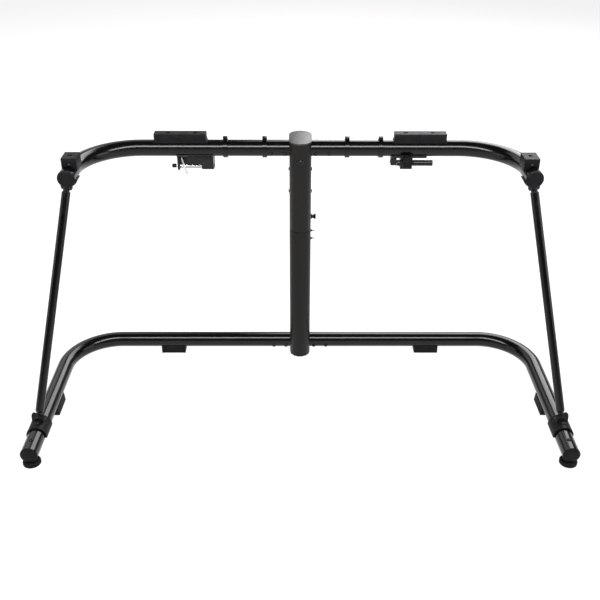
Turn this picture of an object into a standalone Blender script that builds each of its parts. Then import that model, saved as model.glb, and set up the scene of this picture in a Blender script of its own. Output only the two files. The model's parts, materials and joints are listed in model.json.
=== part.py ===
# Keyboard stand: a bent-tube base and a bent-tube top on a telescopic rear column,
# braced at the front by two telescopic struts.
#
# Frame: metres, +Z up, floor at Z = 0, the player sits on the -Y side. The origin is on the
# floor in the middle of the footprint. Plan positions below are given from the rails' rear
# axis (Y = 0 there) and moved to the origin by REAR_Y.

import math

import bmesh
import bpy
from mathutils import Matrix, Vector

MM = 0.001
GAP = 0.3 * MM                       # air between two pieces that touch
SIDES = ((-1, "left"), (1, "right"))

# Bent rails
RAIL_RADIUS = 19.05 * MM
RAIL_WALL = 1.8 * MM
RAIL_SIDES = 20
BEND_STEPS = 8
BASE_Z = 31 * MM
RAIL_RISE = 532 * MM
TOP_Z = BASE_Z + RAIL_RISE
TOP_HALF_WIDTH = 502.8 * MM
TOP_REACH = 196 * MM
TOP_BEND = 135 * MM
BASE_HALF_WIDTH = 592 * MM
BASE_REACH = 470 * MM
BASE_BEND = 125 * MM
CAP_FLANGE = 4.2 * MM

# Column
COLUMN_HALF_X = 25.75 * MM
COLUMN_HALF_Y = 47.25 * MM
COLUMN_WALL = 2.4 * MM
CAP_RIM = 1.0 * MM
CAP_TOP = TOP_Z + 26 * MM
CAP_HEIGHT = 3.5 * MM
SEAM_Z = TOP_Z - 197 * MM
COLUMN_FOOT_Z = BASE_Z - 21 * MM
LINER_WALL = 1.55 * MM
INNER_WALL = 2.2 * MM
INNER_TOP = TOP_Z - 27 * MM
INNER_BOTTOM = BASE_Z + 22 * MM
LINER_TOP = TOP_Z - 35 * MM
COLLAR_FLANGE = 1.5 * MM
COLLAR_SPIGOT = 30 * MM
CROSS_TUBE_RADIUS = 16.9 * MM
CROSS_TUBE_WALL = 2.0 * MM
CROSS_TUBE_HALF = 95 * MM

# Struts: pivots given from the rear axis, for the right-hand side
LOWER_PIVOT = (591.5 * MM, -367 * MM, BASE_Z + 28.5 * MM)
UPPER_PIVOT = (509.7 * MM, -170 * MM, TOP_Z - 27.2 * MM)
STRUT_RADIUS = 9.5 * MM
STRUT_WALL = 1.2 * MM
STRUT_INNER_RADIUS = 7.3 * MM
STRUT_INNER_WALL = 1.5 * MM
STRUT_INNER_LENGTH = 290 * MM
STRUT_MOUTH = 11 * MM
TANG = (7 * MM, 6 * MM)               # radius and thickness of the strut's lower end
TANG_REACH = 14 * MM
STRUT_END = 10 * MM
UPPER_EYE = (7 * MM, 13 * MM)
PIN_RADIUS = 3 * MM

# Rests, pads and feet
REST_TOP = TOP_Z + 37 * MM
REAR_PAD_DEPTH = 24 * MM
REAR_PAD_HEIGHT = 26 * MM
REAR_PAD_X = (217 * MM, 278.6 * MM, 340.4 * MM)
PAD_FLARE = 2.8 * MM
PAD_SCREW_X = (244 * MM, 307 * MM)
BLOCK_X = 498.5 * MM
BLOCK_SIZE = (33 * MM, 42 * MM, 27 * MM)
BLOCK_Y = -149 * MM
FLOOR_PAD_LENGTH = 62 * MM
FLOOR_PAD_X = 334 * MM
SIDE_PAD_Y = -255 * MM
FOOT_Y = -455 * MM
FOOT_RADIUS = 19.7 * MM
FOOT_HEIGHT = 9.3 * MM
STEM_RADIUS = 4 * MM
SADDLE_RADIUS = 23 * MM
SADDLE_Y = (-401 * MM, -353 * MM)
LUG_WIDTH = 12.4 * MM
SADDLE_SCREW_Y = -384 * MM
PLUG_SCREW_Y = -437 * MM

# Half way between the feet's front edge and the column cap's back edge
REAR_Y = (FOOT_RADIUS - FOOT_Y - COLUMN_HALF_Y - CAP_RIM) / 2

# Rail bolts face the player and a little downwards
BOLT_X = (36.8 * MM, 68.5 * MM)
BOLT_DROP = math.radians(28)
CLIP_X = (-174.7 * MM, -83.2 * MM, 109.1 * MM, 187.4 * MM)

# Clamps under the top rails
LEFT_CLAMP_X = (-289 * MM, -204 * MM)
ROD_Z = TOP_Z - 44 * MM
ROD_RADIUS = 3 * MM
TOMMY_X = -274.5 * MM
TOMMY_RADIUS = 3 * MM
TOMMY_HALF = 21 * MM
TOMMY_SLANT = math.radians(14)
RIGHT_CLAMP_X = (212 * MM, 295 * MM)
BAR_X = (227 * MM, 312 * MM)
BAR_Z = TOP_Z - 36.5 * MM
BAR_RADIUS = 7.2 * MM
STAR_X = 249 * MM
STAR_Z = TOP_Z - 24.5 * MM
STAR_RADIUS = 15 * MM

COLLECTION = bpy.data.collections.new("keyboard_stand")
CUTTERS = bpy.data.collections.new("cutters")


# ---------------------------------------------------------------- materials

def material(name, colour, metallic, roughness):
    mat = bpy.data.materials.new(name)
    mat.use_nodes = True
    shader = mat.node_tree.nodes["Principled BSDF"]
    shader.inputs["Base Color"].default_value = (*colour, 1.0)
    shader.inputs["Metallic"].default_value = metallic
    shader.inputs["Roughness"].default_value = roughness
    return mat


GLOSS_BLACK = ("gloss_black", (0.008, 0.008, 0.009), 0.0, 0.16)
SATIN_BLACK = ("satin_black", (0.022, 0.020, 0.020), 0.0, 0.45)
DARK_PLASTIC = ("dark_plastic", (0.030, 0.031, 0.033), 0.0, 0.6)
BLACK_RUBBER = ("black_rubber", (0.012, 0.012, 0.013), 0.0, 0.8)
BLACK_STEEL = ("black_steel", (0.05, 0.05, 0.055), 0.9, 0.35)
BRIGHT_STEEL = ("bright_steel", (0.62, 0.62, 0.63), 1.0, 0.25)
BARE_STEEL = ("bare_steel", (0.35, 0.35, 0.36), 1.0, 0.4)
NYLON = ("nylon", (0.6, 0.6, 0.58), 0.0, 0.5)


# ---------------------------------------------------------------- modelling helpers

def place(x, y, z):
    """World point from a plan position measured from the rear axis."""
    return Vector((x, y + REAR_Y, z))


def aim(point, axis):
    """Matrix that moves a shape built along +Z to point, along axis."""
    turn = Vector((0, 0, 1)).rotation_difference(Vector(axis)).to_matrix().to_4x4()
    return Matrix.Translation(point) @ turn


def bake(obj):
    """Evaluate an object into a closed, welded mesh, and remove the object."""
    scene = bpy.context.scene
    scene.collection.objects.link(obj)
    graph = bpy.context.evaluated_depsgraph_get()
    mesh = bpy.data.meshes.new_from_object(obj.evaluated_get(graph))
    bpy.data.objects.remove(obj)
    bm = bmesh.new()
    bm.from_mesh(mesh)
    bmesh.ops.remove_doubles(bm, verts=bm.verts, dist=0.000002)
    bmesh.ops.recalc_face_normals(bm, faces=bm.faces)
    bm.to_mesh(mesh)
    bm.free()
    return mesh


def turned(profile, steps=16, ring=False):
    """Mesh of a (radius, height) profile, listed top to bottom down its outer side."""
    edges = [(i, i + 1) for i in range(len(profile) - 1)]
    if ring:
        edges.append((len(profile) - 1, 0))
    mesh = bpy.data.meshes.new("profile")
    mesh.from_pydata([(r, 0.0, z) for r, z in profile], edges, [])
    obj = bpy.data.objects.new("profile", mesh)
    screw = obj.modifiers.new("Turn", "SCREW")
    screw.steps = steps
    screw.render_steps = steps
    screw.use_merge_vertices = True
    screw.merge_threshold = 0.00001
    return bake(obj)


def rod(radius, length, steps=16):
    """Solid cylinder along +Z, centred on the origin."""
    mesh = bpy.data.meshes.new("rod")
    bm = bmesh.new()
    bmesh.ops.create_cone(bm, cap_ends=True, segments=steps, radius1=radius, radius2=radius, depth=length)
    bm.to_mesh(mesh)
    bm.free()
    return mesh


def bore(radius, length, steps=16):
    """Cutter whose flat sides all clear a round piece of the given radius by GAP."""
    return rod((radius + GAP) / math.cos(math.pi / steps), length, steps)


def pipe(outer, inner, length, steps=20):
    """Hollow cylinder along +Z, from 0 to length."""
    return turned([(inner, length), (outer, length), (outer, 0), (inner, 0)], steps, ring=True)


def block(size):
    """Box centred on the origin."""
    mesh = bpy.data.meshes.new("block")
    bm = bmesh.new()
    bmesh.ops.create_cube(bm, size=1.0)
    bmesh.ops.scale(bm, vec=size, verts=bm.verts)
    bm.to_mesh(mesh)
    bm.free()
    return mesh


def extruded(outlines, depth):
    """Flat outline in XY, further outlines being holes, thickened along +Z from 0 to depth."""
    curve = bpy.data.curves.new("outline", "CURVE")
    curve.dimensions = "2D"
    curve.fill_mode = "BOTH"
    curve.extrude = depth / 2
    for points in outlines:
        spline = curve.splines.new("POLY")
        spline.points.add(len(points) - 1)
        for point, (x, y) in zip(spline.points, points):
            point.co = (x, y, 0.0, 1.0)
        spline.use_cyclic_u = True
    mesh = bake(bpy.data.objects.new("outline", curve))
    mesh.transform(Matrix.Translation((0, 0, depth / 2)))
    return mesh


def swept(points, radius, sides):
    """Open round tube along a path of points."""
    curve = bpy.data.curves.new("path", "CURVE")
    curve.dimensions = "3D"
    curve.bevel_depth = radius
    curve.bevel_resolution = (sides - 4) // 2
    spline = curve.splines.new("POLY")
    spline.points.add(len(points) - 1)
    for point, position in zip(spline.points, points):
        point.co = (*position, 1.0)
    return bake(bpy.data.objects.new("path", curve))


def part(name, mesh, look, matrix=None):
    """Named sub-part with its own material."""
    mesh.name = name
    mesh.shade_smooth()
    mesh.set_sharp_from_angle(angle=math.radians(35))
    mesh.materials.clear()
    mesh.materials.append(material(f"{name}_{look[0]}", *look[1:]))
    obj = bpy.data.objects.new(name, mesh)
    if matrix is not None:
        obj.matrix_world = matrix
    COLLECTION.objects.link(obj)
    return obj


def tool(name, mesh, matrix=None):
    """Cutter or join shape, left out of the model itself."""
    obj = bpy.data.objects.new(name, mesh)
    if matrix is not None:
        obj.matrix_world = matrix
    obj.hide_render = True
    obj.display_type = "WIRE"
    CUTTERS.objects.link(obj)
    return obj


def boolean(obj, operation, mesh, matrix=None):
    """Cut a shape from a part, or join it to the part."""
    other = tool(f"{obj.name}_{operation.lower()}_{len(obj.modifiers)}", mesh, matrix)
    modifier = obj.modifiers.new(other.name, "BOOLEAN")
    modifier.operation = operation
    modifier.solver = "EXACT"
    modifier.object = other


def cut(obj, mesh, matrix=None):
    boolean(obj, "DIFFERENCE", mesh, matrix)


def join(obj, mesh, matrix=None):
    boolean(obj, "UNION", mesh, matrix)


def round_edges(obj, width, segments=1):
    bevel = obj.modifiers.new("Round edges", "BEVEL")
    bevel.width = width
    bevel.segments = segments
    bevel.limit_method = "ANGLE"
    bevel.angle_limit = math.radians(40)


def pivot(name, point, pieces):
    """Empty on a joint's axis that carries the pieces that move about it."""
    empty = bpy.data.objects.new(name, None)
    empty.empty_display_size = 0.02
    empty.location = point
    COLLECTION.objects.link(empty)
    bpy.context.view_layer.update()
    for piece in pieces:
        piece.parent = empty
        piece.matrix_parent_inverse = empty.matrix_world.inverted()


# ---------------------------------------------------------------- shared shapes

def racetrack(half_x, half_y, steps=7):
    """Section of the column: two half circles joined by straight sides."""
    points = []
    for end in (1, -1):
        start = 0.0 if end > 0 else math.pi
        for i in range(steps + 1):
            angle = start + math.pi * i / steps
            points.append((half_x * math.cos(angle), end * (half_y - half_x) + half_x * math.sin(angle)))
    return points


def column_section(inset):
    """Column outline shrunk by inset."""
    return racetrack(COLUMN_HALF_X - inset, COLUMN_HALF_Y - inset)


def arc(radius, start, stop, steps):
    """Points along an arc, angles in degrees."""
    angles = [math.radians(start + (stop - start) * i / steps) for i in range(steps + 1)]
    return [(radius * math.cos(angle), radius * math.sin(angle)) for angle in angles]


def screw_mesh(head, head_height, shank, length):
    """Button-head screw along +Z: underside of the head at 0, shank pointing down, hex socket."""
    socket = head * 0.42
    floor = head_height * 0.45
    profile = [(0, floor), (socket, floor), (socket, head_height), (head * 0.62, head_height),
               (head * 0.9, head_height * 0.6), (head, 0), (shank, 0), (shank, -length), (0, -length)]
    return turned(profile)


def bolt_direction():
    return Vector((0, -math.cos(BOLT_DROP), -math.sin(BOLT_DROP)))


def strut_points(side):
    """Lower and upper pivot of one strut, in world coordinates."""
    lower = place(side * LOWER_PIVOT[0], LOWER_PIVOT[1], LOWER_PIVOT[2])
    upper = place(side * UPPER_PIVOT[0], UPPER_PIVOT[1], UPPER_PIVOT[2])
    return lower, upper


def strut_pin_axis(side):
    """Horizontal axis square to the plane in which the strut leans."""
    lower, upper = strut_points(side)
    return (upper - lower).cross(Vector((0, 0, 1))).normalized()


# ---------------------------------------------------------------- column

def column_lower():
    height = SEAM_Z - COLLAR_FLANGE - GAP - COLUMN_FOOT_Z
    mesh = extruded([column_section(0), column_section(COLUMN_WALL)], height)
    obj = part("column_lower", mesh, SATIN_BLACK, Matrix.Translation(place(0, 0, COLUMN_FOOT_Z)))
    cut(obj, bore(CROSS_TUBE_RADIUS, 0.2, 20), aim(place(0, 0, BASE_Z), (1, 0, 0)))
    for z in peg_heights():
        cut(obj, rod(2.2 * MM, 12 * MM, 8), aim(place(COLUMN_HALF_X, 0, z), (1, 0, 0)))


def column_inner_profile():
    inset = COLUMN_WALL + LINER_WALL + 2 * GAP
    mesh = extruded([column_section(inset), column_section(inset + INNER_WALL)], INNER_TOP - INNER_BOTTOM)
    obj = part("column_inner_profile", mesh, BARE_STEEL, Matrix.Translation(place(0, 0, INNER_BOTTOM)))
    for z in peg_heights():
        cut(obj, rod(2.2 * MM, 12 * MM, 8), aim(place(COLUMN_HALF_X - inset, 0, z), (1, 0, 0)))


def column_collar():
    """Bush between the lower column and the inner profile; its flange carries the sleeve."""
    inside = column_section(COLUMN_WALL + GAP + LINER_WALL)
    obj = part("column_collar", extruded([column_section(0.6 * MM), inside], COLLAR_SPIGOT), DARK_PLASTIC,
               Matrix.Translation(place(0, 0, SEAM_Z - COLLAR_SPIGOT)))
    around = [column_section(-3 * MM), column_section(COLUMN_WALL + GAP)]
    below_flange = place(0, 0, SEAM_Z - COLLAR_FLANGE - COLLAR_SPIGOT)
    cut(obj, extruded(around, COLLAR_SPIGOT), Matrix.Translation(below_flange))
    for z in peg_heights():
        cut(obj, rod(2.2 * MM, 12 * MM, 8), aim(place(COLUMN_HALF_X - COLUMN_WALL, 0, z), (1, 0, 0)))


def column_bottom_cap():
    obj = part("column_bottom_cap", extruded([column_section(0)], 3 * MM), BLACK_RUBBER,
               Matrix.Translation(place(0, 0, COLUMN_FOOT_Z - GAP - 3 * MM)))
    join(obj, extruded([column_section(COLUMN_WALL + GAP), column_section(5 * MM)], 4 * MM),
         Matrix.Translation(place(0, 0, COLUMN_FOOT_Z - GAP - 0.5 * MM)))


def peg_heights():
    return (TOP_Z - 213 * MM, TOP_Z - 234 * MM)


def column_pegs():
    """Pointed screws that hold the inner profile in the lower column."""
    profile = [(0, 10.5), (0.9, 10.2), (1.1, 4.6), (3.2, 1.4), (3.4, 0), (1.9, 0), (1.9, -6), (0, -6)]
    for word, z in zip(("upper", "lower"), peg_heights()):
        mesh = turned([(r * MM, h * MM) for r, h in profile], 10)
        part(f"column_peg_{word}", mesh, BLACK_STEEL, aim(place(COLUMN_HALF_X + GAP, 0, z), (1, 0, 0)))


def liner_screw_spots():
    heights = (TOP_Z - 52 * MM, TOP_Z - 108 * MM)
    return [(side, z) for side, _ in SIDES for z in heights]


def lock_height():
    return TOP_Z - 175 * MM


def front_bolt_height():
    return TOP_Z - 19 * MM


def column_sleeve():
    height = CAP_TOP - CAP_HEIGHT - GAP - SEAM_Z - GAP
    mesh = extruded([column_section(0), column_section(COLUMN_WALL)], height)
    obj = part("column_sleeve", mesh, SATIN_BLACK, Matrix.Translation(place(0, 0, SEAM_Z + GAP)))
    cut(obj, bore(CROSS_TUBE_RADIUS, 0.2, 20), aim(place(0, 0, TOP_Z), (1, 0, 0)))
    for side, z in liner_screw_spots():
        cut(obj, rod(2.5 * MM, 12 * MM, 8), aim(place(side * COLUMN_HALF_X, 0, z), (1, 0, 0)))
    cut(obj, rod(3.3 * MM, 12 * MM, 10), aim(place(COLUMN_HALF_X, 0, lock_height()), (1, 0, 0)))
    cut(obj, rod(3.3 * MM, 12 * MM, 10), aim(place(0, -COLUMN_HALF_Y, front_bolt_height()), (0, 1, 0)))


def sleeve_liner():
    """Plastic guide fixed inside the sleeve; the inner profile runs in it."""
    inset = COLUMN_WALL + GAP
    bottom = SEAM_Z + 2 * MM
    mesh = extruded([column_section(inset), column_section(inset + LINER_WALL)], LINER_TOP - bottom)
    obj = part("sleeve_liner", mesh, NYLON, Matrix.Translation(place(0, 0, bottom)))
    for side, z in liner_screw_spots():
        cut(obj, rod(2.5 * MM, 12 * MM, 8), aim(place(side * (COLUMN_HALF_X - inset), 0, z), (1, 0, 0)))
    cut(obj, rod(3.3 * MM, 12 * MM, 10), aim(place(COLUMN_HALF_X - inset, 0, lock_height()), (1, 0, 0)))


def column_cap():
    """Lid of the sleeve, with a tab inside the front wall for the front bolt."""
    lid = racetrack(COLUMN_HALF_X + CAP_RIM, COLUMN_HALF_Y + CAP_RIM)
    obj = part("column_cap", extruded([lid], CAP_HEIGHT), GLOSS_BLACK,
               Matrix.Translation(place(0, 0, CAP_TOP - CAP_HEIGHT)))
    round_edges(obj, 1.2 * MM)
    join(obj, extruded([column_section(COLUMN_WALL + GAP), column_section(COLUMN_WALL + 2.5 * MM)], 5 * MM),
         Matrix.Translation(place(0, 0, CAP_TOP - CAP_HEIGHT - 4 * MM)))
    tab_y = -COLUMN_HALF_Y + COLUMN_WALL + 3.2 * MM
    join(obj, block((12 * MM, 4 * MM, 50 * MM)), Matrix.Translation(place(0, tab_y, CAP_TOP - 27 * MM)))
    cut(obj, rod(3.3 * MM, 20 * MM, 10), aim(place(0, tab_y, front_bolt_height()), (0, 1, 0)))


def column_front_bolt():
    mesh = screw_mesh(7 * MM, 3.2 * MM, 3 * MM, 10 * MM)
    spot = aim(place(0, -COLUMN_HALF_Y - GAP, front_bolt_height()), (0, -1, 0))
    part("column_front_bolt", mesh, BLACK_STEEL, spot)


def height_lock_knob():
    """Spool-shaped knob; its screw presses the inner profile through the sleeve."""
    profile = [(0, 12.4), (5.2, 12.4), (6.9, 11.4), (6.9, 9.6), (4.6, 7.4), (4.2, 5.2), (5.0, 2.8),
               (6.6, 1.6), (6.6, 0.3), (3.0, 0.3), (3.0, -4.0), (0, -4.0)]
    mesh = turned([(r * MM, z * MM) for r, z in profile])
    point = place(COLUMN_HALF_X, 0, lock_height())
    obj = part("height_lock_knob", mesh, BLACK_STEEL, aim(point, (1, 0, 0)))
    cut(obj, rod(2.1 * MM, 4 * MM, 6), aim(point + Vector((12.4 * MM, 0, 0)), (1, 0, 0)))
    pivot("lock_axis", point, [obj])


def cross_tube(name, z):
    """Straight tube through the column; the two rails slide onto its ends."""
    mesh = pipe(CROSS_TUBE_RADIUS, CROSS_TUBE_RADIUS - CROSS_TUBE_WALL, 2 * CROSS_TUBE_HALF)
    obj = part(name, mesh, BARE_STEEL, aim(place(-CROSS_TUBE_HALF, 0, z), (1, 0, 0)))
    for side, _ in SIDES:
        for x in BOLT_X:
            cut(obj, rod(3.3 * MM, 12 * MM, 10), bolt_seat(side * x, z, CROSS_TUBE_RADIUS))


# ---------------------------------------------------------------- rails

def bolt_seat(x, z, radius):
    """Where a rail bolt crosses a tube of the given radius."""
    direction = bolt_direction()
    return aim(place(x, 0, z) + direction * radius, direction)


def rail_path(side, half_width, reach, bend, z):
    points = [place(side * (COLUMN_HALF_X + GAP), 0, z)]
    for i in range(BEND_STEPS + 1):
        angle = math.pi / 2 * i / BEND_STEPS
        x = half_width - bend + bend * math.sin(angle)
        points.append(place(side * x, bend * math.cos(angle) - bend, z))
    points.append(place(side * half_width, CAP_FLANGE + GAP - reach, z))
    return points


def rail(name, side, half_width, reach, bend, z):
    mesh = swept(rail_path(side, half_width, reach, bend, z), RAIL_RADIUS, RAIL_SIDES)
    obj = part(name, mesh, GLOSS_BLACK)
    shell = obj.modifiers.new("Wall", "SOLIDIFY")
    shell.thickness = RAIL_WALL
    shell.offset = -1.0
    shell.use_even_offset = True
    for x in BOLT_X:
        cut(obj, rod(3.3 * MM, 12 * MM, 10), bolt_seat(side * x, z, RAIL_RADIUS))
    return obj


def base_rails():
    for side, word in SIDES:
        obj = rail(f"base_rail_{word}", side, BASE_HALF_WIDTH, BASE_REACH, BASE_BEND, BASE_Z)
        x = side * BASE_HALF_WIDTH
        cut(obj, bore(STEM_RADIUS, 12 * MM, 12), aim(place(x, FOOT_Y, BASE_Z - RAIL_RADIUS), (0, 0, 1)))
        for y in (SADDLE_SCREW_Y, PLUG_SCREW_Y):
            cut(obj, rod(2.5 * MM, 12 * MM, 8), aim(place(x, y, BASE_Z + RAIL_RADIUS), (0, 0, 1)))


def top_rails():
    for side, word in SIDES:
        obj = rail(f"top_rail_{word}", side, TOP_HALF_WIDTH, TOP_REACH, TOP_BEND, TOP_Z)
        for x in PAD_SCREW_X:
            cut(obj, rod(2.7 * MM, 12 * MM, 8), aim(place(side * x, 0, TOP_Z + RAIL_RADIUS), (0, 0, 1)))
        block_screw = place(side * BLOCK_X, BLOCK_Y, TOP_Z + RAIL_RADIUS)
        cut(obj, rod(2.7 * MM, 16 * MM, 8), aim(block_screw, (0, 0, 1)))


def end_caps(prefix, half_width, reach, z, spigot):
    profile = [(0, 4.2), (13, 3.9), (18, 2.6), (19.5, 0.6), (19.5, 0), (16.9, 0),
               (16.9, -spigot / MM), (14.4, -spigot / MM), (14.4, 1.2), (0, 1.2)]
    for side, word in SIDES:
        mesh = turned([(r * MM, h * MM) for r, h in profile], 20)
        part(f"{prefix}_end_cap_{word}", mesh, DARK_PLASTIC,
             aim(place(side * half_width, CAP_FLANGE - reach, z), (0, -1, 0)))


# ---------------------------------------------------------------- rests on the top rails

def rail_cutter(length=0.2, extra=0.0):
    """Cutter that clears a rail; extra room is for pieces that reach onto a bend."""
    return bore(RAIL_RADIUS + extra, length, 24)


def rear_pads():
    """Two pads in line on each side, flared at the pair's outer corners."""
    inner, middle, outer = REAR_PAD_X
    bottom = REST_TOP - REAR_PAD_HEIGHT
    for side, word in SIDES:
        for name, low, high, low_flare, high_flare in (
                ("inner", inner, middle - GAP, PAD_FLARE, 0), ("outer", middle + GAP, outer, 0, PAD_FLARE)):
            shoulder = bottom + 9 * MM
            outline = [(low - low_flare, bottom), (high + high_flare, bottom), (high, shoulder),
                       (high, REST_TOP), (low, REST_TOP), (low, shoulder)]
            mesh = extruded([[(side * x, z) for x, z in outline]], REAR_PAD_DEPTH)
            stand_up = Matrix.Rotation(math.pi / 2, 4, "X")
            obj = part(f"rear_pad_{word}_{name}", mesh, DARK_PLASTIC,
                       Matrix.Translation(place(0, REAR_PAD_DEPTH / 2, 0)) @ stand_up)
            round_edges(obj, 0.9 * MM)
            cut(obj, rail_cutter(), aim(place(side * middle, 0, TOP_Z), (1, 0, 0)))
            screw_x = side * PAD_SCREW_X[0 if name == "inner" else 1]
            cut(obj, rod(4.8 * MM, 14 * MM, 12), Matrix.Translation(place(screw_x, 0, REST_TOP)))
            cut(obj, rod(2.7 * MM, 60 * MM, 10), Matrix.Translation(place(screw_x, 0, REST_TOP)))


def front_blocks():
    for side, word in SIDES:
        centre = place(side * BLOCK_X, BLOCK_Y, REST_TOP - BLOCK_SIZE[2] / 2)
        obj = part(f"front_block_{word}", block(BLOCK_SIZE), DARK_PLASTIC, Matrix.Translation(centre))
        round_edges(obj, 1.4 * MM)
        cut(obj, rail_cutter(extra=0.6 * MM), aim(place(side * TOP_HALF_WIDTH, BLOCK_Y, TOP_Z), (0, 1, 0)))
        top = place(side * BLOCK_X, BLOCK_Y, REST_TOP)
        cut(obj, rod(4.8 * MM, 14 * MM, 12), Matrix.Translation(top))
        cut(obj, rod(2.7 * MM, 60 * MM, 10), Matrix.Translation(top))
        cut(obj, rod(2.5 * MM, 26 * MM, 10), front_bolt_spot(side))


def front_bolt_spot(side):
    return aim(place(side * BLOCK_X, BLOCK_Y - BLOCK_SIZE[1] / 2 - GAP, REST_TOP - 14 * MM), (0, -1, 0))


def cable_clips():
    """Split rings on the top rails, pinched by two short ears on top."""
    width = 11 * MM
    for index, x in enumerate(CLIP_X, start=1):
        centre = place(x, 0, TOP_Z)
        lay = aim(centre - Vector((width / 2, 0, 0)), (1, 0, 0))
        ring = pipe(RAIL_RADIUS + 3.4 * MM, RAIL_RADIUS + GAP, width, 16)
        ears = centre + Vector((0, 0, RAIL_RADIUS + 3.9 * MM))
        slit = centre + Vector((0, 0, RAIL_RADIUS + 6 * MM))
        obj = part(f"cable_clip_{index}", ring, GLOSS_BLACK, lay)
        join(obj, block((10.4 * MM, 8 * MM, 9 * MM)), Matrix.Translation(ears))
        cut(obj, rail_cutter(40 * MM), aim(centre, (1, 0, 0)))
        cut(obj, block((20 * MM, 1.6 * MM, 20 * MM)), Matrix.Translation(slit))
        pivot(f"clip_axis_{index}", centre, [obj])


# ---------------------------------------------------------------- clamps under the top rails

def left_clamp_bracket():
    """Cradle against the rail, a lug and a block that hold the cross rod, and a web behind its handle."""
    low, high = LEFT_CLAMP_X
    skin = arc(21.3 * MM, 215, 325, 8) + arc(17 * MM, 325, 215, 8)
    obj = part("left_clamp_bracket", extruded([skin], high - low), BLACK_STEEL, section_matrix(low, TOP_Z))
    for size, x, drop in (((5, 16, 32), low + 2.5 * MM, 36), ((61, 20, 18), high - 30.5 * MM, 28),
                          ((28, 14, 14), high - 14 * MM, 43.5)):
        join(obj, block(Vector(size) * MM), Matrix.Translation(place(x, 0, TOP_Z - drop * MM)))
    for depth, height, y, drop in ((13.5, 12, 18.75, 19), (3, 43, 24, 36.5)):
        join(obj, block((high - low, depth * MM, height * MM)),
             Matrix.Translation(place((low + high) / 2, y * MM, TOP_Z - drop * MM)))
    cut(obj, rail_cutter(), aim(place((low + high) / 2, 0, TOP_Z), (1, 0, 0)))
    cut(obj, bore(ROD_RADIUS, 0.2, 12), aim(place((low + high) / 2, 0, ROD_Z), (1, 0, 0)))


def section_matrix(x, z):
    """Lays an outline drawn in XY into the YZ plane at x, extruded along +X."""
    turn = Matrix(((0, 0, 1, 0), (1, 0, 0, 0), (0, 1, 0, 0), (0, 0, 0, 1)))
    return Matrix.Translation(place(x, 0, z)) @ turn


def left_clamp_screw():
    """Cross rod with a tommy bar through it and a small knob on its outer end."""
    low, high = LEFT_CLAMP_X
    left = low - 12 * MM
    length = high - 2 * MM - left
    axis = place(TOMMY_X, 0, ROD_Z)
    screw = part("left_clamp_rod", rod(ROD_RADIUS, length, 16), BRIGHT_STEEL,
                 aim(place(left + length / 2, 0, ROD_Z), (1, 0, 0)))
    slant = (-math.sin(TOMMY_SLANT), 0, math.cos(TOMMY_SLANT))
    join(screw, rod(TOMMY_RADIUS, 2 * TOMMY_HALF, 12), aim(axis, slant))
    profile = [(0, 5), (3.6, 5), (4.6, 4), (4.6, -4), (3.6, -5), (0, -5)]
    knob = part("left_clamp_knob", turned([(r * MM, z * MM) for r, z in profile]), DARK_PLASTIC,
                aim(place(left + 3.5 * MM, 0, ROD_Z), (-1, 0, 0)))
    cut(knob, bore(ROD_RADIUS, 10 * MM, 12), aim(place(left + 4.7 * MM, 0, ROD_Z), (1, 0, 0)))
    pivot("left_clamp_axis", axis, [screw, knob])


def right_clamp_bracket():
    """Cradle against the rail, with a strap that holds the round bar."""
    low, high = RIGHT_CLAMP_X
    skin = arc(23.5 * MM, 220, 320, 8) + arc(17 * MM, 320, 220, 8)
    obj = part("right_clamp_bracket", extruded([skin], high - low), BLACK_STEEL, section_matrix(low, TOP_Z))
    join(obj, block((14 * MM, 16 * MM, 20 * MM)), Matrix.Translation(place(low + 7 * MM, 0, TOP_Z - 30 * MM)))
    join(obj, block((28 * MM, 22 * MM, 30 * MM)), Matrix.Translation(place(STAR_X, 0, TOP_Z - 33 * MM)))
    middle = place(BAR_X[0] + 40 * MM, 0, BAR_Z)
    cut(obj, rail_cutter(), aim(place(STAR_X, 0, TOP_Z), (1, 0, 0)))
    cut(obj, bore(BAR_RADIUS, 0.2, 20), aim(middle, (1, 0, 0)))
    cut(obj, rod(3.3 * MM, 20 * MM, 10), aim(place(STAR_X, -11 * MM, STAR_Z), (0, 1, 0)))


def right_clamp_bar():
    """Round bar that slides through the strap."""
    length = BAR_X[1] - BAR_X[0]
    edge = BAR_RADIUS - 0.8 * MM
    half = length / 2
    profile = [(0, half), (edge, half), (BAR_RADIUS, half - 0.8 * MM), (BAR_RADIUS, 0.8 * MM - half),
               (edge, -half), (0, -half)]
    centre = place((BAR_X[0] + BAR_X[1]) / 2, 0, BAR_Z)
    obj = part("right_clamp_bar", turned(profile, 20), GLOSS_BLACK, aim(centre, (1, 0, 0)))
    pivot("bar_axis", centre, [obj])


def star_knob():
    """Lobed knob whose screw pinches the strap above the round bar."""
    lobes = 6
    outline = []
    for i in range(5 * lobes):
        angle = 2 * math.pi * i / (5 * lobes)
        radius = STAR_RADIUS * (0.89 + 0.11 * math.cos(lobes * angle))
        outline.append((radius * math.cos(angle), radius * math.sin(angle)))
    face = place(STAR_X, -22 * MM, STAR_Z)
    obj = part("star_knob", extruded([outline], 9 * MM), DARK_PLASTIC, aim(face, (0, -1, 0)))
    round_edges(obj, 1.2 * MM)
    profile = [(0, 11.5), (4.5, 11.5), (6.5, 9.5), (6.5, -2), (3.6, -2), (3.6, -9.6), (3, -9.6), (3, -14),
               (0, -14)]
    join(obj, turned([(r * MM, z * MM) for r, z in profile]), aim(face, (0, -1, 0)))
    pivot("star_axis", face, [obj])


# ---------------------------------------------------------------- struts

def eye(radius, width):
    return rod(radius, width, 20)


def ear(reach, thickness, round_radius, stretch):
    """Lug outline: round about the pivot, with straight sides towards the rail."""
    points = arc(round_radius, 0, 180, 6) + [(-stretch, -reach), (stretch, -reach)]
    return extruded([points], thickness)


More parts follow.
